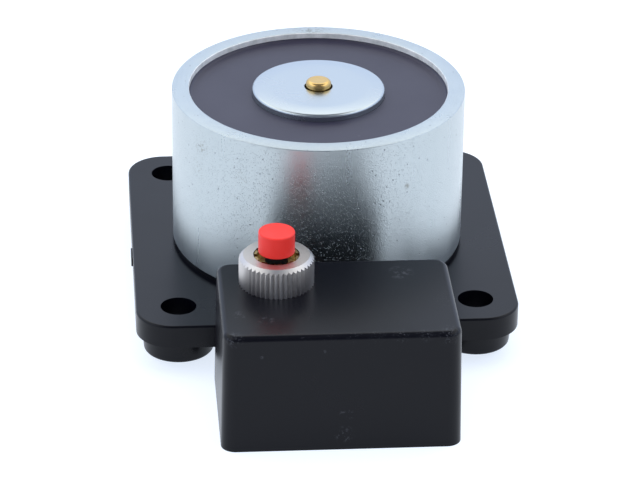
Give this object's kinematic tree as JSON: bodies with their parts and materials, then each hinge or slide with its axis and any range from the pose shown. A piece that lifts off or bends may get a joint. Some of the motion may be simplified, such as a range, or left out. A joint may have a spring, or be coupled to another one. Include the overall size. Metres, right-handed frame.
{
  "type": "holding electromagnet",
  "caption": "Door-holding electromagnet: potted round magnet with sprung push-off pin on a moulded base, with a terminal box and red release button.",
  "frame": {"origin": "centre of the four mounting holes, in the plane of the feet's undersides", "axes": "+Z along the magnet's axis out of the holding face, -Y towards the terminal box, +X to the right seen from the box"},
  "size_m": [0.0836, 0.117, 0.0501],
  "materials": {
    "black_plastic": "semi-gloss moulded, light scuffs",
    "zinc_steel": "bright blue-passivated zinc, fine pits",
    "pole_steel": "bright zinc on a turned face",
    "bobbin_plastic": "satin",
    "copper_wire": "enamelled copper",
    "coil_tape": "adhesive tape",
    "potting_resin": "cast resin, satin",
    "pin_brass": "turned",
    "spring_steel": "drawn wire",
    "plug_steel": "turned",
    "sleeve_rubber": "matt",
    "screw_zinc": "bright zinc",
    "washer_zinc": "bright zinc",
    "nut_metal": "knurled and turned",
    "bush_brass": "turned and slotted",
    "lock_washer_steel": "plain",
    "switch_plastic": "satin",
    "base_plastic": "laminate",
    "terminal_metal": "tinned",
    "bridge_metal": "stamped",
    "plunger_plastic": "satin",
    "red_plastic": "satin",
    "small_spring_steel": "drawn wire",
    "block_plastic": "satin",
    "clamp_brass": "nickel-free brass",
    "clamp_screw_steel": "zinc",
    "block_screw_steel": "zinc",
    "lead_red": "insulation",
    "lead_black": "insulation",
    "wire_blue": "insulation",
    "wire_brown": "insulation",
    "diode_black": "moulded, pale end band",
    "diode_wire": "tinned"
  },
  "bodies": {
    "base": {"housing": "black_plastic", "pot_shell": "zinc_steel", "core": "pole_steel", "bobbin": "bobbin_plastic", "winding": "copper_wire", "winding_tape": "coil_tape", "potting": "potting_resin", "pin_spring": "spring_steel", "spring_plug": "plug_steel", "lead_sleeve": "sleeve_rubber", "pot_screws": "screw_zinc", "pot_washers": "washer_zinc", "knurled_nut": "nut_metal", "switch_bush": "bush_brass", "lock_washer": "lock_washer_steel", "switch_body": "switch_plastic", "switch_base": "base_plastic", "switch_terminals": "terminal_metal", "return_spring": "small_spring_steel", "terminal_block": "block_plastic", "clamp_bodies": "clamp_brass", "clamp_screws": "clamp_screw_steel", "block_screws": "block_screw_steel", "coil_lead_red": "lead_red", "coil_lead_black": "lead_black", "switch_wire": "wire_blue", "supply_wire": "wire_brown", "suppressor": "diode_black", "suppressor_leads": "diode_wire"},
    "pin": {"push_off_pin": "pin_brass"},
    "button": {"button_cap": "red_plastic", "plunger": "plunger_plastic", "contact_bridge": "bridge_metal"}
  },
  "joints": [
    {"name": "pin_slide", "type": "slide", "parent": "base", "child": "pin", "axis": [0, 0, -1], "range_m": [0, 0.0015], "stiffness_N_per_m": 1500, "springref_m": -0.004, "deforming": ["pin_spring"]},
    {"name": "button_press", "type": "slide", "parent": "base", "child": "button", "axis": [0, 0, -1], "range_m": [0, 0.002], "stiffness_N_per_m": 600, "springref_m": -0.003, "deforming": ["return_spring"]}
  ]
}
